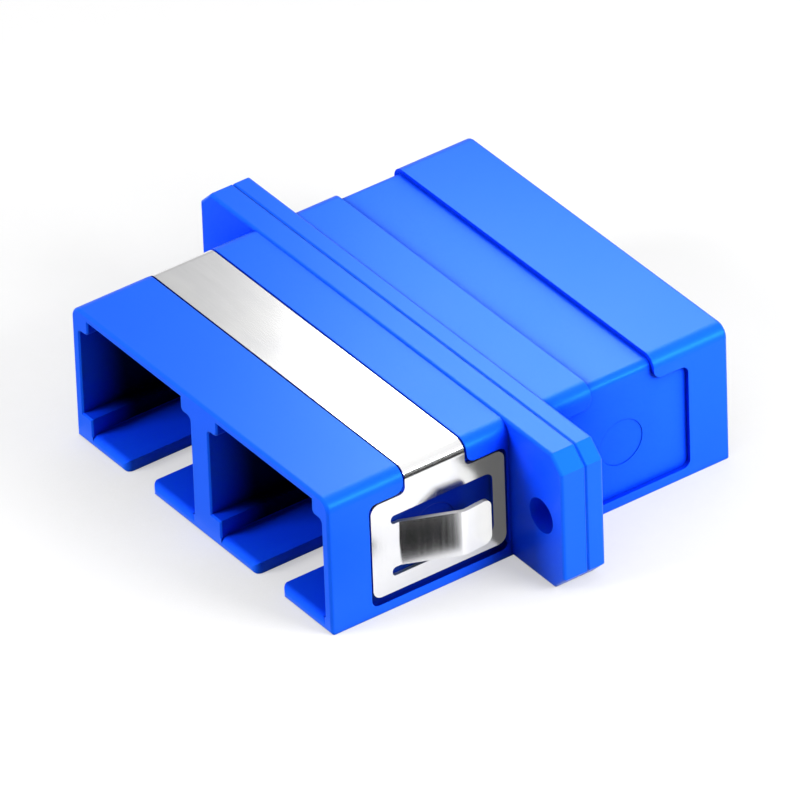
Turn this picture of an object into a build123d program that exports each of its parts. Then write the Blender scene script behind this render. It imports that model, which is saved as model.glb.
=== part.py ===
from build123d import *
import os

# Fibre optic adapter with two ports at each end, for push-pull plugs with 2.5 mm ferrules.
# Millimetres. X runs across the ports, Y from the front mouths (-Y) to the rear ones, Z up.
# The origin is under the middle of the body, in the plane where the ferrules meet.

# Ports
port_pitch = 12.7
port_width = 9.15
port_height = 7.8
relief_depth = 0.9            # room beside the port for the latch arms to spread
rib_height = 0.95             # corner ribs under the ceiling
rib_corner_radius = 0.35
ledge_height = 1.1            # ledge along the floor, on one side of each port
relief_corner_radius = 0.25
floor_corner_radius = 0.3     # foot of the wall on the open side
floor_lead_radius = 0.45      # rounded lip where the plug slides in over the floor
mouth_chamfer = 0.1
key_slot_width = 2.4
key_slot_length = 6.4
key_slot_radius = 0.5

# Housing walls and outside
side_wall = 0.675
floor_wall = 0.75
top_wall = 0.55
half_length = 13.95           # ferrule plane to each mouth
seam_offset = 0.23            # the seam lies this far behind the ferrule plane
top_edge_radius = 0.8
face_edge_radius = 0.2        # round the mouth face

# Flange
flange_thickness = 2.9
ear_length = 5.0
ear_chamfer = 1.0
flange_step = 0.1             # the flange stands this far proud of the roof
flange_edge_radius = 0.2
seam_chamfer = 0.1
screw_hole_diameter = 2.2
screw_hole_inset = 2.95       # body side to screw hole
screw_hole_height = 4.4
locating_pin_diameter = 1.0
locating_pin_length = 0.5
locating_pin_inset = 1.05     # body side to locating pin
locating_pin_edge = 2.0       # flange edge to locating pin
locating_pin_clearance = 0.05

# Recess for the spring clip, the same on both halves
recess_depth = 0.3
recess_core_radius = 0.5
channel_gap = 2.9             # flange face to the channel over the roof
channel_width = 4.4
pocket_gap = 0.2              # flange face to the side pocket
pocket_length = 9.5
pocket_bottom = 0.62
pocket_height = 7.0
pocket_corner_radius = 0.5
channel_corner_radius = 0.6
ejector_mark_diameter = 3.0
ejector_mark_depth = 0.04

# Spring clip
clip_sheet = 0.25
clip_seat_clearance = 0.03
clip_edge_clearance = 0.13
arm_foot_clearance = 0.5      # pocket bottom to the foot of the arm
arm_corner_radius = 0.6
neck_corner_radius = 0.4
window_front_strip = 1.35
window_rear_strip = 0.85
window_foot_strip = 1.05
window_top_strip = 1.2
window_corner_radius = 0.5
tongue_slit = 0.58
tongue_root = 0.6             # flat part of the tongue between its slits
tongue_flare = 1.5            # how far the tongue springs out
tongue_ramp = 3.45
tongue_pad = 1.9
tongue_pad_return = 0.15
tongue_root_bend = 0.6
tongue_peak_bend = 0.7
tongue_tip_radius = 0.5

# Alignment sleeves
ferrule_diameter = 2.5
sleeve_wall = 0.35
sleeve_length = 11.4
sleeve_slit = 0.4
sleeve_end_chamfer = 0.12

# Latch inserts
plate_thickness = 1.2
plate_lap = 0.25              # how far the plate is trapped behind the port's edges
plate_clearance = 0.05
plate_corner_chamfer = 0.3
sleeve_clearance = 0.05       # round the sleeve
sleeve_end_clearance = 0.1
tube_wall = 0.75              # the tube round the sleeve
tube_lip_thickness = 0.8
tube_lip_clearance = 0.2      # round the ferrule
tube_lead_chamfer = 0.3
arm_reach = 8.6               # ferrule plane to the hook tips
arm_inner = 3.95              # port centre to the inside of each latch arm
arm_thickness = 0.75
arm_height = 3.2
arm_root_radius = 0.35
hook_depth = 0.6
hook_length = 1.5
hook_head_height = 4.4
hook_catch = 0.35             # slope of the catch face, along Y
hook_lead = 0.85              # slope of the lead-in, along Y

relief_half_width = port_width / 2 + relief_depth
body_width = port_pitch + 2 * (relief_half_width + side_wall)
body_height = floor_wall + port_height + top_wall
port_axis_height = floor_wall + port_height / 2
flange_face = flange_thickness / 2
flange_width = body_width + 2 * ear_length
screw_hole_x = body_width / 2 + screw_hole_inset
plate_width = 2 * (relief_half_width + plate_lap)
plate_height = port_height + 2 * plate_lap
core_half_width = body_width / 2 - recess_depth
channel_start = flange_face + channel_gap
pocket_start = flange_face + pocket_gap
sleeve_outer_radius = ferrule_diameter / 2 + sleeve_wall
holder_radius = sleeve_outer_radius + sleeve_clearance
tube_length = sleeve_length / 2 + sleeve_end_clearance + tube_lip_thickness
port_places = (-port_pitch / 2, port_pitch / 2)
overcut = 1.0


def along_y(section, y_from, y_to):
    return extrude(Plane.XZ.offset(-y_to) * section, amount=y_to - y_from)


def along_x(section, x_from, x_to):
    return extrude(Plane.YZ.offset(x_from) * section, amount=x_to - x_from)


def along_z(section, z_from, z_to):
    return extrude(Plane.XY.offset(z_from) * section, amount=z_to - z_from)


def span(u_from, u_to, v_from, v_to):
    """A rectangle given by its sides."""
    middle = Pos((u_from + u_to) / 2, (v_from + v_to) / 2)
    return middle * Rectangle(u_to - u_from, v_to - v_from)


def rod_along_y(radius, y_from, y_to):
    return along_y(Circle(radius), y_from, y_to)


def corners(section, u, v):
    """The corner of a section nearest to a point."""
    return section.vertices().sort_by_distance((u, v))[:1]


def corner_round(u, v, u_side, v_side, radius):
    """The sliver between a square corner at (u, v) and the arc that rounds it."""
    square = Pos(u + u_side * radius / 2, v + v_side * radius / 2) * Rectangle(radius, radius)
    return square - Pos(u + u_side * radius, v + v_side * radius) * Circle(radius)


# Housing halves, drawn as the front one with its mouths at -Y


def body_block(parting):
    section = span(-body_width / 2, body_width / 2, 0, body_height)
    section = fillet(section.vertices().group_by(Axis.Y)[-1], top_edge_radius)
    block = along_y(section, -half_length, parting)
    return fillet(block.faces().sort_by(Axis.Y)[0].edges(), face_edge_radius)


def flange_block(parting):
    half_width = flange_width / 2
    section = span(-half_width, half_width, 0, body_height + flange_step)
    section = chamfer(section.vertices(), ear_chamfer)
    block = along_y(section, -flange_face, parting)
    block = fillet(block.faces().sort_by(Axis.Y)[0].edges(), flange_edge_radius)
    return chamfer(block.faces().sort_by(Axis.Y)[-1].edges(), seam_chamfer)


def port_section():
    """Plug passage seen from its mouth, with the floor at zero height."""
    edge = port_width / 2
    relief_top = port_height - rib_height
    passage = span(-edge, edge, 0, port_height)
    ledge_side = span(-relief_half_width, -edge, ledge_height, relief_top)
    open_side = span(edge, relief_half_width, 0, relief_top)
    section = passage + ledge_side + open_side
    for side in (-1, 1):
        section = fillet(corners(section, side * edge, relief_top), rib_corner_radius)
        section = fillet(corners(section, side * relief_half_width, relief_top), relief_corner_radius)
    return fillet(corners(section, relief_half_width, 0), floor_corner_radius)


def key_slot():
    """Slot in the floor, with rounded corners where it opens into the mouth."""
    edge = key_slot_width / 2
    section = span(-edge, edge, -half_length - overcut, key_slot_length - half_length)
    section = fillet(section.vertices().group_by(Axis.Y)[-1], key_slot_radius)
    for side in (-1, 1):
        section += corner_round(side * edge, -half_length, side, 1, key_slot_radius)
    return along_z(section, -overcut, floor_wall + overcut)


def floor_lip():
    """What the rounded lip takes off the front edge of the floor."""
    sliver = corner_round(-half_length, floor_wall, 1, -1, floor_lead_radius)
    return along_x(sliver, -port_width / 2, relief_half_width)


def clip_recess():
    """Recess for the clip: a pocket in each side, and a channel from one to the other over the roof."""
    pocket_front = -pocket_start - pocket_length
    channel_front = -channel_start - channel_width
    top = pocket_bottom + pocket_height
    pocket = span(pocket_front, -pocket_start, pocket_bottom, top)
    channel = span(channel_front, -channel_start, top, body_height + overcut)
    outline = pocket + channel
    for y in (channel_front, -channel_start):
        outline = fillet(corners(outline, y, top), channel_corner_radius)
    for y in (pocket_front, -pocket_start):
        outline = fillet(corners(outline, y, top), pocket_corner_radius)
        outline = fillet(corners(outline, y, pocket_bottom), pocket_corner_radius)
    reach = body_width / 2 + overcut
    return along_x(outline, -reach, reach) - clip_core(0)


def clip_core(grow):
    """What is left of the body inside the recess, or a skin of it that stands further out."""
    half_width = core_half_width + grow
    section = span(-half_width, half_width, -overcut, body_height - recess_depth + grow)
    section = fillet(section.vertices().group_by(Axis.Y)[-1], recess_core_radius + grow)
    return along_y(section, -pocket_start - pocket_length - overcut, -pocket_start + overcut)


def ejector_marks():
    y = -channel_start - channel_width / 2
    z = pocket_bottom + pocket_height / 2
    disc = Pos(y, z) * Circle(ejector_mark_diameter / 2)
    floor_depth = core_half_width - ejector_mark_depth
    right = along_x(disc, floor_depth, core_half_width + overcut)
    return right + mirror(right, Plane.YZ)


def locating_places():
    x = body_width / 2 + locating_pin_inset
    return ((-x, locating_pin_edge), (x, body_height - locating_pin_edge))


def housing_half(parting):
    """One moulded half, from its mouths to the seam at y = parting."""
    half = body_block(parting) + flange_block(parting)
    half -= clip_recess()
    half -= ejector_marks()
    chamber = span(-plate_width / 2 - plate_clearance, plate_width / 2 + plate_clearance,
                   -plate_height / 2 - plate_clearance, plate_height / 2 + plate_clearance)
    chamber_depth = plate_thickness + plate_clearance
    for x in port_places:
        half -= along_y(Pos(x, floor_wall) * port_section(), -half_length - overcut, parting + overcut)
        half -= along_y(Pos(x, port_axis_height) * chamber, -chamber_depth, parting + overcut)
        half -= Pos(x, 0, 0) * key_slot()
        half -= Pos(x, 0, 0) * floor_lip()
        half -= Pos(x, 0, 0) * mouth_lead()
    for x in (-screw_hole_x, screw_hole_x):
        hole = rod_along_y(screw_hole_diameter / 2, -flange_face - overcut, parting + overcut)
        half -= Pos(x, 0, screw_hole_height) * hole
    return half


def mouth_lead():
    """Tapered lead-in round the plug passage."""
    section = offset(port_section(), mouth_chamfer, kind=Kind.INTERSECTION)
    outer = Plane.XZ.offset(half_length) * Pos(0, floor_wall) * section
    return extrude(outer, amount=-mouth_chamfer, taper=45)


def front_housing():
    half = housing_half(seam_offset)
    for x, z in locating_places():
        pin = rod_along_y(locating_pin_diameter / 2, 0, seam_offset + locating_pin_length)
        half += Pos(x, 0, z) * pin
    return half


def rear_housing():
    half = Rot(0, 0, 180) * housing_half(-seam_offset)
    radius = locating_pin_diameter / 2 + locating_pin_clearance
    depth = locating_pin_length + locating_pin_clearance
    for x, z in locating_places():
        half -= Pos(x, 0, z) * rod_along_y(radius, 0, seam_offset + depth)
    return half


# Spring clip, folded from one strip of sheet


def arm_window_outline(foot, top, front, rear):
    """The cut-out of an arm, seen from the side, with a slit along each edge of the tongue."""
    z_low = foot + window_foot_strip
    z_high = top - window_top_strip
    y_front = front + window_front_strip
    y_rear = rear - window_rear_strip
    outline = span(y_front, y_rear, z_low, z_high)
    outline -= span(y_front, y_front + tongue_root, z_low + tongue_slit, z_high - tongue_slit)
    for z in (z_low, z_low + tongue_slit, z_high - tongue_slit, z_high):
        outline = fillet(corners(outline, y_front, z), tongue_slit * 0.45)
    for z in (z_low, z_high):
        outline = fillet(corners(outline, y_rear, z), window_corner_radius)
    return outline


def clip_tongue(y_root, z_low, z_high):
    """The tongue of the right arm, bent out of the sheet towards the flange."""
    x = core_half_width + clip_seat_clearance + clip_sheet / 2
    y_bend = y_root + tongue_root
    y_peak = y_bend + tongue_ramp
    y_tip = y_peak + tongue_pad
    line = FilletPolyline((x, y_root - tongue_slit / 2), (x, y_bend), (x + tongue_flare, y_peak),
                          (x + tongue_flare - tongue_pad_return, y_tip),
                          radius=(tongue_root_bend, tongue_peak_bend))
    ribbon = along_z(trace(line, clip_sheet), z_low, z_high)
    outline = span(y_root - overcut, y_tip, z_low, z_high)
    outline = fillet(outline.vertices().group_by(Axis.X)[-1], tongue_tip_radius)
    return ribbon & along_x(outline, x - overcut, x + tongue_flare + overcut)


def panel_clip():
    front = -pocket_start - pocket_length + clip_edge_clearance
    rear = -pocket_start - clip_edge_clearance
    foot = pocket_bottom + arm_foot_clearance
    top = pocket_bottom + pocket_height - clip_edge_clearance
    neck_front = -channel_start - channel_width + clip_edge_clearance
    neck_rear = -channel_start - clip_edge_clearance

    blank = span(front, rear, foot, top) + span(neck_front, neck_rear, foot, body_height + overcut)
    for y in (front, rear):
        blank = fillet(corners(blank, y, foot), arm_corner_radius)
        blank = fillet(corners(blank, y, top), arm_corner_radius)
    for y in (neck_front, neck_rear):
        blank = fillet(corners(blank, y, top), neck_corner_radius)
    blank -= arm_window_outline(foot, top, front, rear)

    sheet = clip_core(clip_seat_clearance + clip_sheet) - clip_core(clip_seat_clearance)
    reach = body_width / 2 + overcut
    clip = sheet & along_x(blank, -reach, reach)
    z_low = foot + window_foot_strip + tongue_slit
    z_high = top - window_top_strip - tongue_slit
    tongue = clip_tongue(front + window_front_strip, z_low, z_high)
    return clip + tongue + mirror(tongue, Plane.YZ)


# Latch inserts and sleeves, drawn on the ferrule axis with the ferrule plane at y = 0


def insert_plate():
    section = Rectangle(plate_width, plate_height)
    section = chamfer(section.vertices(), plate_corner_chamfer)
    return along_y(section, -plate_thickness, 0)


def holder_bore():
    """Seat of the sleeve, then a lip that keeps it in and leads the ferrule."""
    lip_radius = ferrule_diameter / 2 + tube_lip_clearance
    bore = rod_along_y(holder_radius, -sleeve_length / 2 - sleeve_end_clearance, overcut)
    lip = rod_along_y(lip_radius, -tube_length - overcut, 0)
    lead = Cone(lip_radius, lip_radius + tube_lead_chamfer, tube_lead_chamfer)
    return bore + lip + Pos(0, -tube_length + tube_lead_chamfer / 2, 0) * Rot(90, 0, 0) * lead


def latch_arm():
    """The arm on the +X side: a plain spring leg that ends in a taller hooked head."""
    outer = arm_inner + arm_thickness
    hook_start = -arm_reach + hook_length
    leg = span(arm_inner, outer, -arm_reach, -plate_thickness / 2)
    hook = make_face(Polyline(
        (arm_inner, hook_start), (arm_inner - hook_depth, hook_start - hook_catch),
        (arm_inner - hook_depth, -arm_reach + hook_lead), (arm_inner, -arm_reach),
        (outer, -arm_reach), (outer, hook_start), close=True))
    spring_leg = along_z(leg, -arm_height / 2, arm_height / 2)
    head = along_z(hook, -hook_head_height / 2, hook_head_height / 2)
    return spring_leg + head + arm_root(outer)


def arm_root(outer):
    """Round fillets where the leg grows out of the plate."""
    inside = corner_round(arm_inner, -plate_thickness, -1, -1, arm_root_radius)
    outside = corner_round(outer, -plate_thickness, 1, -1, arm_root_radius)
    return along_z(inside + outside, -arm_height / 2, arm_height / 2)


def latch_insert():
    insert = insert_plate() + rod_along_y(holder_radius + tube_wall, -tube_length, 0)
    arm = latch_arm()
    insert = insert + arm + mirror(arm, Plane.YZ)
    return insert - holder_bore()


def alignment_sleeve():
    sleeve = rod_along_y(sleeve_outer_radius, -sleeve_length / 2, sleeve_length / 2)
    for end in (0, -1):
        sleeve = chamfer(sleeve.faces().sort_by(Axis.Y)[end].edges(), sleeve_end_chamfer)
    sleeve -= rod_along_y(ferrule_diameter / 2, -sleeve_length, sleeve_length)
    slit = span(-sleeve_slit / 2, sleeve_slit / 2, -sleeve_length, sleeve_length)
    return sleeve - along_z(slit, 0, sleeve_outer_radius + overcut)


def make_parts():
    parts = {
        "front_housing": front_housing(),
        "rear_housing": rear_housing(),
        "panel_clip": panel_clip(),
    }
    front_insert = latch_insert()
    rear_insert = Rot(0, 0, 180) * front_insert
    sleeve = alignment_sleeve()
    for side, x in zip(("left", "right"), port_places):
        place = Pos(x, 0, port_axis_height)
        parts["latch_insert_front_" + side] = place * front_insert
        parts["latch_insert_rear_" + side] = place * rear_insert
        parts["alignment_sleeve_" + side] = place * sleeve
    return parts


os.makedirs("parts", exist_ok=True)
for name, shape in make_parts().items():
    export_step(shape, "parts/" + name + ".step")
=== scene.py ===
import bpy
from mathutils import Matrix, Vector


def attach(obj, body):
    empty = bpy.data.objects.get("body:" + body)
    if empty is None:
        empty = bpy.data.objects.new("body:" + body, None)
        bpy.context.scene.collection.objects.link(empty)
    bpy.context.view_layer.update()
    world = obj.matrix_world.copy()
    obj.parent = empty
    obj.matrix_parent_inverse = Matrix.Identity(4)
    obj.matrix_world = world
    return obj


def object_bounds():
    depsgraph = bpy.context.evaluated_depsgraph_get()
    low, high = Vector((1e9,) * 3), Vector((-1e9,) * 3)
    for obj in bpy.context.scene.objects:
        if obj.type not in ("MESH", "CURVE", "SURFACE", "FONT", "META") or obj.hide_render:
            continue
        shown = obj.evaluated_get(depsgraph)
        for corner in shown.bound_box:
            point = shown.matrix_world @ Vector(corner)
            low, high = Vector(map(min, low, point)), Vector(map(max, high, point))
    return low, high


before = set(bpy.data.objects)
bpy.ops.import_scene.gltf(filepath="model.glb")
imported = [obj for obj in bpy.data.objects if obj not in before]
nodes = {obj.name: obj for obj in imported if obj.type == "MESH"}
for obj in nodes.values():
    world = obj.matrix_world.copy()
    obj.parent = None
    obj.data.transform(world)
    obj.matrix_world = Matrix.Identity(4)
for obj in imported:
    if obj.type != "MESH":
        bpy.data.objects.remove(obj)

# Fibre optic adapter with two ports at each end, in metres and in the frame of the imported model:
# X across the ports, Y from the front mouths to the rear ones, Z up.

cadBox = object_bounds()
mm = 0.001
halfLength = cadBox[1].y
print("stage 1: frame loaded,", len(nodes), "nodes")


# Small helpers for shader trees

def addNode(tree, kind, inputs=None, **settings):
    node = tree.nodes.new(kind)
    for name, value in settings.items():
        setattr(node, name, value)
    for socket, value in (inputs or {}).items():
        if isinstance(value, bpy.types.NodeSocket):
            tree.links.new(value, node.inputs[socket])
        else:
            node.inputs[socket].default_value = value
    return node


def maths(tree, operation, a, b=0.0):
    return addNode(tree, "ShaderNodeMath", {0: a, 1: b}, operation=operation).outputs[0]


def smoothStep(tree, value, low, high):
    node = addNode(tree, "ShaderNodeMapRange", {"Value": value, "From Min": low, "From Max": high},
                   interpolation_type="SMOOTHSTEP")
    return node.outputs["Result"]


def mixColour(tree, factor, a, b, blend="MIX"):
    node = addNode(tree, "ShaderNodeMix", data_type="RGBA", blend_type=blend)
    for socket, value in ((node.inputs[0], factor), (node.inputs[6], a), (node.inputs[7], b)):
        if isinstance(value, bpy.types.NodeSocket):
            tree.links.new(value, socket)
        else:
            socket.default_value = value
    return node.outputs[2]


def newGroup(name, inputs, outputs):
    group = bpy.data.node_groups.new(name, "ShaderNodeTree")
    for label, kind, default in inputs:
        socket = group.interface.new_socket(label, in_out="INPUT", socket_type=kind)
        if default is not None:
            socket.default_value = default
    for label, kind in outputs:
        group.interface.new_socket(label, in_out="OUTPUT", socket_type=kind)
    return group, group.nodes.new("NodeGroupInput"), group.nodes.new("NodeGroupOutput")


def useGroup(tree, group, **values):
    node = tree.nodes.new("ShaderNodeGroup")
    node.node_tree = group
    for label, value in values.items():
        socket = node.inputs[label.replace("_", " ")]
        if isinstance(value, bpy.types.NodeSocket):
            tree.links.new(value, socket)
        else:
            socket.default_value = value
    return node


def bareMaterial(name):
    material = bpy.data.materials.new(name)
    material.use_nodes = True
    tree = material.node_tree
    tree.nodes.clear()
    return material, tree, tree.nodes.new("ShaderNodeOutputMaterial")


def newMaterial(name, **constants):
    material, tree, output = bareMaterial(name)
    shader = tree.nodes.new("ShaderNodeBsdfPrincipled")
    for label, value in constants.items():
        shader.inputs[label.replace("_", " ")].default_value = value
    tree.links.new(shader.outputs["BSDF"], output.inputs["Surface"])
    return material, tree, shader


# Effects that several materials share

def makeMouldSkin():
    # Fine texture that a spark-eroded mould leaves on plastic, and slow patches of colour and gloss
    group, given, result = newGroup(
        "mouldSkin",
        [("Vector", "NodeSocketVector", None), ("Grain size", "NodeSocketFloat", 0.12 * mm),
         ("Patch size", "NodeSocketFloat", 6 * mm)],
        [("Grain", "NodeSocketFloat"), ("Patches", "NodeSocketFloat")])
    grainScale = maths(group, "DIVIDE", 1.0, given.outputs["Grain size"])
    patchScale = maths(group, "DIVIDE", 1.0, given.outputs["Patch size"])
    grain = addNode(group, "ShaderNodeTexNoise", {
        "Vector": given.outputs["Vector"], "Scale": grainScale, "Detail": 3.0, "Roughness": 0.55})
    patches = addNode(group, "ShaderNodeTexNoise", {
        "Vector": given.outputs["Vector"], "Scale": patchScale, "Detail": 2.0, "Roughness": 0.5})
    group.links.new(grain.outputs["Fac"], result.inputs["Grain"])
    group.links.new(patches.outputs["Fac"], result.inputs["Patches"])
    return group


portLimits = {"Half length": halfLength, "Half width": 11.95 * mm, "Floor": 0.85 * mm,
              "Ceiling": 8.6 * mm, "Fade": 3.2 * mm}
portFadeStart = 0.04  # of the fade, just inside the mouth


def maskGroup(name, limits, output):
    inputs = [("Vector", "NodeSocketVector", None)]
    inputs += [(label, "NodeSocketFloat", value) for label, value in limits.items()]
    return newGroup(name, inputs, [(output, "NodeSocketFloat")])


def allWithin(group, given, tests):
    mask = 1.0
    for test, value, limit in tests:
        mask = maths(group, "MULTIPLY", mask, maths(group, test, value, given.outputs[limit]))
    return mask


def makePortDepthShade(limits):
    # 0 on the outside, rising to 1 with depth inside the plug passages: the mask of the shade painted deep
    # in the ports
    group, given, result = maskGroup("portDepthShade", limits, "Depth")
    parts = addNode(group, "ShaderNodeSeparateXYZ", {0: given.outputs["Vector"]})
    x, y = (maths(group, "ABSOLUTE", parts.outputs[axis]) for axis in "XY")
    z = parts.outputs["Z"]
    inside = allWithin(group, given, [
        ("LESS_THAN", x, "Half width"), ("GREATER_THAN", z, "Floor"), ("LESS_THAN", z, "Ceiling")])
    distance = maths(group, "SUBTRACT", given.outputs["Half length"], y)
    depth = smoothStep(group, maths(group, "DIVIDE", distance, given.outputs["Fade"]), portFadeStart, 1.0)
    group.links.new(maths(group, "MULTIPLY", inside, depth), result.inputs["Depth"])
    return group


clipLimits = {"Inner": 12.1 * mm, "Outer": 12.45 * mm, "Front": -11.10 * mm, "Rear": -1.68 * mm,
              "Foot": 0.60 * mm, "Top": 7.6 * mm}


def makeClipShadowMask(limits):
    # 1 on the floor of the two side pockets that the spring clip covers: the mask of the clip's painted
    # shadow
    group, given, result = maskGroup("clipShadowMask", limits, "Cover")
    parts = addNode(group, "ShaderNodeSeparateXYZ", {0: given.outputs["Vector"]})
    x, y, z = maths(group, "ABSOLUTE", parts.outputs["X"]), parts.outputs["Y"], parts.outputs["Z"]
    cover = allWithin(group, given, [
        ("GREATER_THAN", x, "Inner"), ("LESS_THAN", x, "Outer"), ("GREATER_THAN", y, "Front"),
        ("LESS_THAN", y, "Rear"), ("GREATER_THAN", z, "Foot"), ("LESS_THAN", z, "Top")])
    group.links.new(cover, result.inputs["Cover"])
    return group


mouldSkin = makeMouldSkin()
clipShadowMask = makeClipShadowMask(clipLimits)
portDepthShade = makePortDepthShade(portLimits)


def wearMouldSkin(tree, place, values):
    return useGroup(tree, mouldSkin, Vector=place, Grain_size=values["grainSize"],
                    Patch_size=values["patchSize"])


def linkRoughness(tree, shader, pattern, values):
    spread = maths(tree, "MULTIPLY", pattern, values["roughnessSpread"])
    rough = maths(tree, "ADD", spread, values["roughness"] - values["roughnessSpread"] / 2)
    tree.links.new(rough, shader.inputs["Roughness"])


def linkGrain(tree, shader, skin, values, **below):
    bump = addNode(tree, "ShaderNodeBump", {
        "Height": skin.outputs["Grain"], "Strength": values["grainStrength"],
        "Distance": values["grainHeight"], **below})
    tree.links.new(bump.outputs["Normal"], shader.inputs["Normal"])


print("stage 2: shared effects built")


# Housing plastic

housingFinish = {
    "blue": (0.006, 0.106, 0.98, 1), "patchBlue": (0.007, 0.116, 1.0, 1),
    # The next three blues are painted shade, not a different plastic: in hollows, deep in the ports and
    # behind the clip
    "hollowShadeBlue": (0.002, 0.045, 1.0, 1),      # where walls stand close together
    "deepShadeBlue": (0.0, 0.0005, 0.018, 1),       # far inside the ports
    "clipShadowBlue": (0.0005, 0.008, 0.20, 1),   # behind the clip
    "hollowReach": 9 * mm, "hollowRange": (0.68, 1.0), "darkRange": (0.10, 0.46),
    "gapReach": 0.35 * mm, "gapRange": (0.25, 0.75), "gapShade": 0.45,
    "sheenTint": (0.03, 0.82, 1.0, 1), "openSheen": 0.5, "roughness": 0.37, "roughnessSpread": 0.06,
    "edgeRadius": 0.07 * mm, "patchSize": 5 * mm,
    "grainSize": 0.16 * mm, "grainHeight": 0.003 * mm, "grainStrength": 0.3,
}


def makeHousingPlastic(name, values):
    material, tree, shader = newMaterial(name, IOR=1.5, Specular_Tint=values["sheenTint"])
    place = addNode(tree, "ShaderNodeTexCoord").outputs["Object"]
    skin = wearMouldSkin(tree, place, values)
    surface = mixColour(tree, skin.outputs["Patches"], values["blue"], values["patchBlue"])
    # Ambient occlusion turns the blue darker and purer where walls stand close: painted shade
    openness = addNode(tree, "ShaderNodeAmbientOcclusion", {"Distance": values["hollowReach"]}, samples=3,
                       only_local=True).outputs["AO"]
    lit = smoothStep(tree, openness, *values["darkRange"])
    hollowShade = mixColour(tree, lit, values["deepShadeBlue"], values["hollowShadeBlue"])
    openness = smoothStep(tree, openness, *values["hollowRange"])
    sheen = maths(tree, "MULTIPLY", openness, values["openSheen"])
    tree.links.new(sheen, shader.inputs["Specular IOR Level"])
    surface = mixColour(tree, openness, hollowShade, surface)
    # Ambient occlusion darkens the colour in narrow gaps and steps: painted shade
    gap = addNode(tree, "ShaderNodeAmbientOcclusion", {"Distance": values["gapReach"]}, samples=2)
    shade = addNode(tree, "ShaderNodeMapRange", {
        "Value": gap.outputs["AO"], "From Min": values["gapRange"][0], "From Max": values["gapRange"][1],
        "To Min": values["gapShade"]}).outputs["Result"]
    surface = mixColour(tree, 1.0, surface, shade, blend="MULTIPLY")
    # Painted shadow of the clip on the pocket floor behind it
    clipShadow = useGroup(tree, clipShadowMask, Vector=place).outputs["Cover"]
    surface = mixColour(tree, clipShadow, surface, values["clipShadowBlue"])
    # Painted shade: the blue turns near black with depth inside the ports
    depth = useGroup(tree, portDepthShade, Vector=place).outputs["Depth"]
    tree.links.new(mixColour(tree, depth, surface, values["deepShadeBlue"]), shader.inputs["Base Color"])
    linkRoughness(tree, shader, skin.outputs["Patches"], values)
    softEdge = addNode(tree, "ShaderNodeBevel", {"Radius": values["edgeRadius"]}, samples=3)
    linkGrain(tree, shader, skin, values, Normal=softEdge.outputs["Normal"])
    return material


# Latch inserts

insertFinish = {
    "navy": (0.0005, 0.004, 0.05, 1), "patchNavy": (0.001, 0.006, 0.07, 1), "patchSize": 3 * mm,
    "roughness": 0.45, "roughnessSpread": 0.1,
    "grainSize": 0.12 * mm, "grainHeight": 0.003 * mm, "grainStrength": 0.3,
}


def makeInsertPlastic(values):
    material, tree, shader = newMaterial("insertPlastic", IOR=1.5, Specular_IOR_Level=0.3)
    place = addNode(tree, "ShaderNodeTexCoord").outputs["Object"]
    skin = wearMouldSkin(tree, place, values)
    colour = mixColour(tree, skin.outputs["Patches"], values["navy"], values["patchNavy"])
    tree.links.new(colour, shader.inputs["Base Color"])
    linkRoughness(tree, shader, skin.outputs["Patches"], values)
    linkGrain(tree, shader, skin, values)
    return material


# Spring steel of the panel clip

steelFinish = {
    "bright": (0.93, 0.93, 0.93, 1), "dull": (0.89, 0.89, 0.90, 1),
    "patchScale": 300.0, "patchRange": (0.35, 0.6),
    "roughness": 0.17, "roughnessSpread": 0.08,
    "rollScale": Vector((250, 6000, 250)), "lineHeight": 0.0005 * mm, "lineStrength": 0.25,
    "edgeGrey": (0.45, 0.45, 0.46, 1), "edgeRoughness": 0.5, "edgeUpright": 0.8,
    "roofUnderside": 8.0 * mm,
}


def shearedEdge(tree, place, values):
    # 1 on the cut edges of the arms, which face up or down below the roof
    normal = addNode(tree, "ShaderNodeTexCoord").outputs["Normal"]
    upright = maths(tree, "ABSOLUTE", addNode(tree, "ShaderNodeSeparateXYZ", {0: normal}).outputs["Z"])
    upright = maths(tree, "GREATER_THAN", upright, values["edgeUpright"])
    height = addNode(tree, "ShaderNodeSeparateXYZ", {0: place}).outputs["Z"]
    return maths(tree, "MULTIPLY", upright, maths(tree, "LESS_THAN", height, values["roofUnderside"]))


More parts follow.
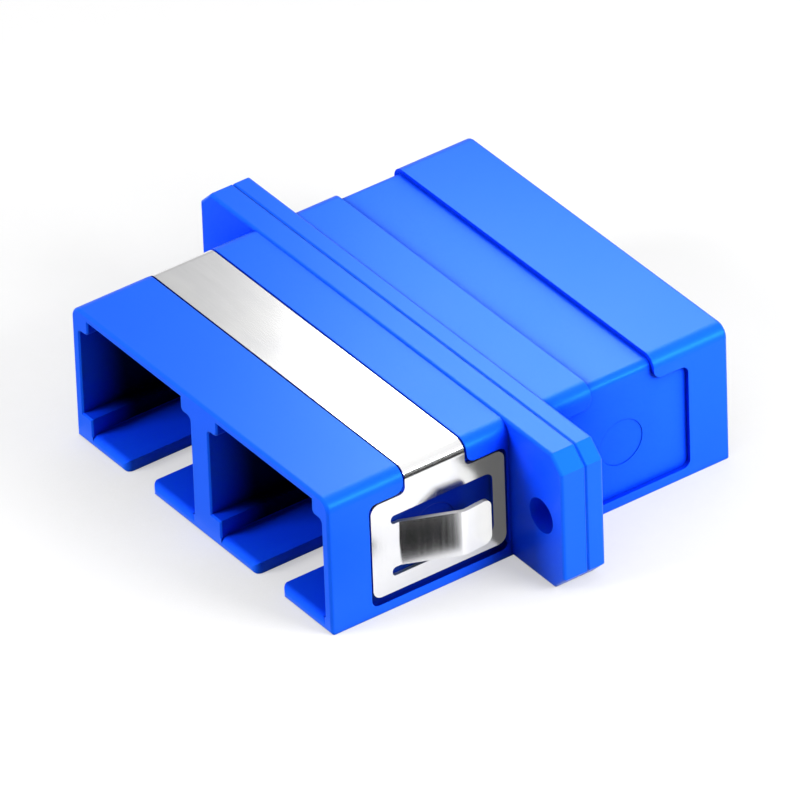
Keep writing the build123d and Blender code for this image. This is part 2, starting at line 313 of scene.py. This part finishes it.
def makeSpringSteel(values):
    # The rolling lines run along the strip: across the roof, then down each arm
    material, tree, shader = newMaterial("springSteel", Metallic=1.0, IOR=2.5)
    place = addNode(tree, "ShaderNodeTexCoord").outputs["Object"]
    rolled = addNode(tree, "ShaderNodeMapping", {"Vector": place, "Scale": values["rollScale"]})
    lines = addNode(tree, "ShaderNodeTexNoise", {
        "Vector": rolled.outputs[0], "Scale": 1.0, "Detail": 3.0, "Roughness": 0.5})
    patches = addNode(tree, "ShaderNodeTexNoise", {
        "Vector": place, "Scale": values["patchScale"], "Detail": 3.0})
    patchy = smoothStep(tree, patches.outputs["Fac"], *values["patchRange"])
    face = mixColour(tree, patchy, values["dull"], values["bright"])
    sheared = shearedEdge(tree, place, values)
    tree.links.new(mixColour(tree, sheared, face, values["edgeGrey"]), shader.inputs["Base Color"])
    spread = maths(tree, "MULTIPLY", lines.outputs["Fac"], values["roughnessSpread"])
    rough = maths(tree, "ADD", spread, values["roughness"] - values["roughnessSpread"] / 2)
    edgeRough = maths(tree, "MULTIPLY", sheared, values["edgeRoughness"])
    tree.links.new(maths(tree, "MAXIMUM", rough, edgeRough), shader.inputs["Roughness"])
    bump = addNode(tree, "ShaderNodeBump", {
        "Height": lines.outputs["Fac"], "Strength": values["lineStrength"],
        "Distance": values["lineHeight"]})
    tree.links.new(bump.outputs["Normal"], shader.inputs["Normal"])
    return material


# Alignment sleeves

sleeveFinish = {
    "white": (0.80, 0.79, 0.74, 1), "shade": (0.70, 0.69, 0.64, 1), "glowDepth": 0.2 * mm,
    "patchSize": 2 * mm, "grainSize": 0.05 * mm, "roughness": 0.16, "roughnessSpread": 0.12,
}


def makeZirconia(values):
    material, tree, shader = newMaterial(
        "zirconia", IOR=2.1, Subsurface_Weight=0.1, Subsurface_Scale=values["glowDepth"])
    place = addNode(tree, "ShaderNodeTexCoord").outputs["Object"]
    skin = wearMouldSkin(tree, place, values)
    tree.links.new(mixColour(tree, skin.outputs["Patches"], values["white"], values["shade"]),
                   shader.inputs["Base Color"])
    linkRoughness(tree, shader, skin.outputs["Grain"], values)
    return material


housingPlastic = makeHousingPlastic("housingPlastic", housingFinish)
insertPlastic = makeInsertPlastic(insertFinish)
springSteel = makeSpringSteel(steelFinish)
zirconia = makeZirconia(sleeveFinish)


def dress(node, material):
    slots = node.data.materials
    slots.clear()
    slots.append(material)


finishes = {"front_housing": housingPlastic, "rear_housing": housingPlastic,
            "latch_insert": insertPlastic, "alignment_sleeve": zirconia, "panel_clip": springSteel}
for name, node in nodes.items():
    dress(node, next(finish for start, finish in finishes.items() if name.startswith(start)))
print("stage 3: materials on the packed pieces")


# Bead of melted plastic that the weld leaves in the groove of the seam, all the way round the flange

seamBead = {
    "seamY": 0.23 * mm, "chamfer": 1.0 * mm, "inset": 0.075 * mm,
    "Radius": 0.030 * mm, "Step": 0.18 * mm, "Unevenness": 0.5, "Wander": 0.012 * mm,
    "Lump size": 0.9 * mm, "Seed": 3.0,
}
beadFinish = dict(housingFinish, roughness=0.24, roughnessSpread=0.10, grainHeight=0.001 * mm)


def makeBeadTree():
    tree = bpy.data.node_groups.new("seamBead", "GeometryNodeTree")
    tree.interface.new_socket("Geometry", in_out="INPUT", socket_type="NodeSocketGeometry")
    for label in ("Radius", "Step", "Unevenness", "Wander", "Lump size", "Seed"):
        tree.interface.new_socket(label, in_out="INPUT", socket_type="NodeSocketFloat")
    tree.interface.new_socket("Material", in_out="INPUT", socket_type="NodeSocketMaterial")
    tree.interface.new_socket("Geometry", in_out="OUTPUT", socket_type="NodeSocketGeometry")
    given, result = tree.nodes.new("NodeGroupInput"), tree.nodes.new("NodeGroupOutput")
    path = addNode(tree, "GeometryNodeMeshToCurve", {"Mesh": given.outputs["Geometry"]})
    path = addNode(tree, "GeometryNodeResampleCurve", {
        "Curve": path.outputs[0], "Length": given.outputs["Step"]}, mode="LENGTH")
    place = tree.nodes.new("GeometryNodeInputPosition").outputs[0]
    lumps = addNode(tree, "ShaderNodeTexNoise", {
        "Vector": place, "W": given.outputs["Seed"], "Detail": 2.0,
        "Scale": maths(tree, "DIVIDE", 1.0, given.outputs["Lump size"])}, noise_dimensions="4D")
    swing = addNode(tree, "ShaderNodeVectorMath", {
        0: lumps.outputs["Color"], 1: (0.5, 0.5, 0.5)}, operation="SUBTRACT")
    swing = addNode(tree, "ShaderNodeVectorMath", {
        0: swing.outputs[0], "Scale": given.outputs["Wander"]}, operation="SCALE")
    path = addNode(tree, "GeometryNodeSetPosition", {
        "Geometry": path.outputs[0], "Offset": swing.outputs[0]})
    swell = maths(tree, "SUBTRACT", lumps.outputs["Fac"], 0.5)
    swell = maths(tree, "MULTIPLY", swell, given.outputs["Unevenness"])
    path = addNode(tree, "GeometryNodeSetCurveRadius", {
        "Curve": path.outputs[0], "Radius": maths(tree, "ADD", 1.0, swell)})
    ring = addNode(tree, "GeometryNodeCurvePrimitiveCircle", {
        "Resolution": 8, "Radius": given.outputs["Radius"]})
    tube = addNode(tree, "GeometryNodeCurveToMesh", {
        "Curve": path.outputs[0], "Profile Curve": ring.outputs[0]})
    tube = addNode(tree, "GeometryNodeSetShadeSmooth", {"Geometry": tube.outputs[0]})
    tube = addNode(tree, "GeometryNodeRealizeInstances", {"Geometry": tube.outputs[0]})
    tube = addNode(tree, "GeometryNodeSetMaterial", {
        "Geometry": tube.outputs[0], "Material": given.outputs["Material"]})
    tree.links.new(tube.outputs[0], result.inputs[0])
    return tree


def makeSeamBead(values, material):
    # The path is the flange's outline, a box with four cut corners, drawn a little inside it
    inset = values["inset"]
    side, top, foot = cadBox[1].x - inset, cadBox[1].z - inset, inset
    cut = values["chamfer"] - (2 - 2 ** 0.5) * inset
    corners = [(side - cut, foot), (side, foot + cut), (side, top - cut), (side - cut, top),
               (cut - side, top), (-side, top - cut), (-side, foot + cut), (cut - side, foot)]
    mesh = bpy.data.meshes.new("seamBead")
    points = [(x, values["seamY"], z) for x, z in corners]
    edges = [(i, (i + 1) % len(points)) for i in range(len(points))]
    mesh.from_pydata(points, edges, [])
    bead = bpy.data.objects.new("seamBead", mesh)
    bpy.context.scene.collection.objects.link(bead)
    tree = makeBeadTree()
    modifier = bead.modifiers.new("seamBead", "NODES")
    modifier.node_group = tree
    for socket in tree.interface.items_tree:
        if socket.in_out == "INPUT" and socket.name in values:
            modifier[socket.identifier] = values[socket.name]
        elif socket.name == "Material":
            modifier[socket.identifier] = material
    evaluated = bead.evaluated_get(bpy.context.evaluated_depsgraph_get())
    solid = bpy.data.meshes.new_from_object(evaluated)
    bead.modifiers.remove(modifier)
    bead.data = solid
    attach(bead, "root")
    return bead


bead = makeSeamBead(seamBead, makeHousingPlastic("weldPlastic", beadFinish))
print("stage 4: seam bead,", len(bead.data.polygons), "faces")


# Floor and light

studio = {
    "floorSize": 3.0, "floorDrop": 0.02 * mm,
    "floorPale": (0.34, 0.34, 0.34, 1), "floorFibre": (0.36, 0.36, 0.36, 1), "fibreScale": 900.0,
    "floorGlow": 0.67,
    "contactReach": 12 * mm, "contactFrom": 0.3, "contactShade": 0.70,
    "floorBounce": (0.35, 0.35, 0.35, 1), "worldStrength": 0.12,
}

lamps = {
    "keyLamp": {"place": Vector((0.092, 0.040, 0.064)), "size": 0.055, "power": 0.165, "gloss": False},
    "edgeLamp": {"place": Vector((0.245, 0.140, 0.095)), "size": 0.09, "power": 0.38, "diffuse": False},
    "roofLamp": {"place": Vector((0.000, -0.020, 0.450)), "size": 0.40, "power": 0.30},
    "frontLamp": {"place": Vector((-0.110, -0.300, 0.180)), "size": 0.14, "power": 1.24, "gloss": False},
    "sheenLamp": {"place": Vector((-0.022, 0.027, 0.044)), "size": 0.030, "power": 0.0140, "diffuse": False},
}


def shownInMirrors(tree):
    # 1 for what the camera sees, directly or in metal and through glass, and 0 for light that bounces
    path = addNode(tree, "ShaderNodeLightPath")
    seen = maths(tree, "MAXIMUM", path.outputs["Is Camera Ray"], path.outputs["Is Glossy Ray"])
    return maths(tree, "MAXIMUM", seen, path.outputs["Is Transmission Ray"])


def makeCard(name, corners):
    mesh = bpy.data.meshes.new(name)
    mesh.from_pydata(corners, [], [(0, 1, 2, 3)])
    card = bpy.data.objects.new(name, mesh)
    bpy.context.scene.collection.objects.link(card)
    return card


def makeFloor(values):
    half, z = values["floorSize"] / 2, -values["floorDrop"]
    floor = makeCard("floor", [(-half, -half, z), (half, -half, z), (half, half, z), (-half, half, z)])
    material, tree, shader = newMaterial("floorPaper", Roughness=0.9, Specular_IOR_Level=0.0)
    place = addNode(tree, "ShaderNodeTexCoord").outputs["Object"]
    fibres = addNode(tree, "ShaderNodeTexNoise", {
        "Vector": place, "Scale": values["fibreScale"], "Detail": 2.0})
    pale = mixColour(tree, fibres.outputs["Fac"], values["floorPale"], values["floorFibre"])
    shown = shownInMirrors(tree)
    tree.links.new(mixColour(tree, shown, values["floorBounce"], pale), shader.inputs["Base Color"])
    shader.inputs["Emission Color"].default_value = (1, 1, 1, 1)
    # The floor's glow is darkened near the object by ambient occlusion: a painted contact shadow
    contact = addNode(tree, "ShaderNodeAmbientOcclusion", {"Distance": values["contactReach"]}, samples=4)
    contact = addNode(tree, "ShaderNodeMapRange", {
        "Value": contact.outputs["AO"], "From Min": values["contactFrom"],
        "To Min": values["contactShade"]}).outputs["Result"]
    glow = maths(tree, "MULTIPLY", maths(tree, "MULTIPLY", shown, contact), values["floorGlow"])
    tree.links.new(glow, shader.inputs["Emission Strength"])
    floor.data.materials.append(material)
    return floor


def makeLamp(name, values, target=Vector((0, 0, 4 * mm))):
    light = bpy.data.lights.new(name, "AREA")
    light.shape = "SQUARE"
    light.size = values["size"]
    light.energy = values["power"]
    lamp = bpy.data.objects.new(name, light)
    lamp.visible_diffuse = values.get("diffuse", True)
    lamp.visible_glossy = values.get("gloss", True)
    lamp.location = values["place"]
    lamp.rotation_euler = (target - values["place"]).to_track_quat("-Z", "Y").to_euler()
    bpy.context.scene.collection.objects.link(lamp)
    return lamp


def makeWorld(values):
    world = bpy.data.worlds.new("studioWorld")
    bpy.context.scene.world = world
    world.use_nodes = True
    tree = world.node_tree
    tree.nodes.clear()
    background = addNode(tree, "ShaderNodeBackground", {"Color": (1, 1, 1, 1)})
    strength = addNode(tree, "ShaderNodeMapRange", {
        "Value": shownInMirrors(tree), "To Min": values["worldStrength"], "To Max": 1.0})
    tree.links.new(strength.outputs["Result"], background.inputs["Strength"])
    output = tree.nodes.new("ShaderNodeOutputWorld")
    tree.links.new(background.outputs[0], output.inputs["Surface"])


# Black, grey and white cards of the studio, each seen from one side and by glossy rays alone: they
# give the steel its bands and keep the sheen off the plastic's front faces

flags = {
    "bendFlag": {"shade": 0.005, "corners": [
        (0.050, 0.040, 0.0), (0.050, -0.004, 0.0), (0.050, -0.004, 0.0260), (0.050, 0.040, 0.0260)]},
    "bendFloorFlag": {"shade": 0.01, "corners": [
        (0.0310, -0.002, 0.0001), (0.050, -0.002, 0.0001),
        (0.050, 0.040, 0.0001), (0.0310, 0.040, 0.0001)]},
    "strapFlag": {"shade": 0.56, "corners": [
        (-0.200, 0.064, 0.03), (-0.109, 0.064, 0.03), (-0.109, 0.064, 0.17), (-0.200, 0.064, 0.17)]},
    "frontFlag": {"shade": 0.28, "corners": [
        (-0.045, -0.035, 0.0001), (0.030, -0.035, 0.0001),
        (0.030, -0.0145, 0.0001), (-0.045, -0.0145, 0.0001)]},
    "earFlag": {"shade": 0.28, "corners": [
        (-0.040, -0.0145, 0.0001), (-0.0130, -0.0145, 0.0001),
        (-0.0130, -0.0016, 0.0001), (-0.040, -0.0016, 0.0001)]},
    "rampFlag": {"shade": 0.0, "corners": [
        (0.0153, -0.0115, 0.0001), (0.0215, -0.0130, 0.0001),
        (0.0235, -0.0080, 0.0001), (0.0181, -0.0068, 0.0001)]},
    "padCard": {"shade": 1.0, "corners": [
        (0.0158, -0.00148, 0.0), (0.0176, -0.00148, 0.0),
        (0.0176, -0.00148, 0.0038), (0.0158, -0.00148, 0.0038)]},
    "stripFlag": {"shade": 0.13, "corners": [
        (0.0129, -0.00147, 0.0), (0.0176, -0.00147, 0.0),
        (0.0176, -0.00147, 0.0090), (0.0129, -0.00147, 0.0090)]},
}


def makeFlag(name, values):
    flag = makeCard(name, values["corners"])
    material, tree, output = bareMaterial(name)
    glow = addNode(tree, "ShaderNodeEmission", {"Color": (values["shade"],) * 3 + (1,), "Strength": 1.0})
    behind = addNode(tree, "ShaderNodeNewGeometry").outputs["Backfacing"]
    oneSided = addNode(tree, "ShaderNodeMixShader", {
        0: behind, 1: glow.outputs[0], 2: addNode(tree, "ShaderNodeBsdfTransparent").outputs[0]})
    tree.links.new(oneSided.outputs[0], output.inputs["Surface"])
    flag.data.materials.append(material)
    for kind in ("camera", "diffuse", "transmission", "volume_scatter", "shadow"):
        setattr(flag, "visible_" + kind, False)
    return flag


makeFloor(studio)
for name, values in lamps.items():
    makeLamp(name, values)
for name, values in flags.items():
    makeFlag(name, values)
makeWorld(studio)
bpy.context.scene.view_settings.view_transform = "Standard"
print("stage 5: floor, lamps, cards and world")


# Camera at the photograph's view, from its three directions in the picture

view = {
    "place": Vector((536.784, -371.826, 460.870)) * mm,
    "right": Vector((0.58661, 0.80929, -0.03068)), "down": Vector((0.45019, -0.35734, -0.81832)),
    "lens": 630.0, "sensor": 36.0, "near": 0.05, "far": 10.0,
}


def makeCamera(values):
    camera = bpy.data.cameras.new("photoCamera")
    camera.lens = values["lens"]
    camera.sensor_width = values["sensor"]
    camera.clip_start = values["near"]
    camera.clip_end = values["far"]
    eye = bpy.data.objects.new("photoCamera", camera)
    right = values["right"].normalized()
    down = (values["down"] - right * values["down"].dot(right)).normalized()
    forward = right.cross(down)
    turn = Matrix((right, -down, -forward)).transposed().to_4x4()
    eye.matrix_world = Matrix.Translation(values["place"]) @ turn
    bpy.context.scene.collection.objects.link(eye)
    bpy.context.scene.camera = eye


makeCamera(view)
print("stage 6: camera")
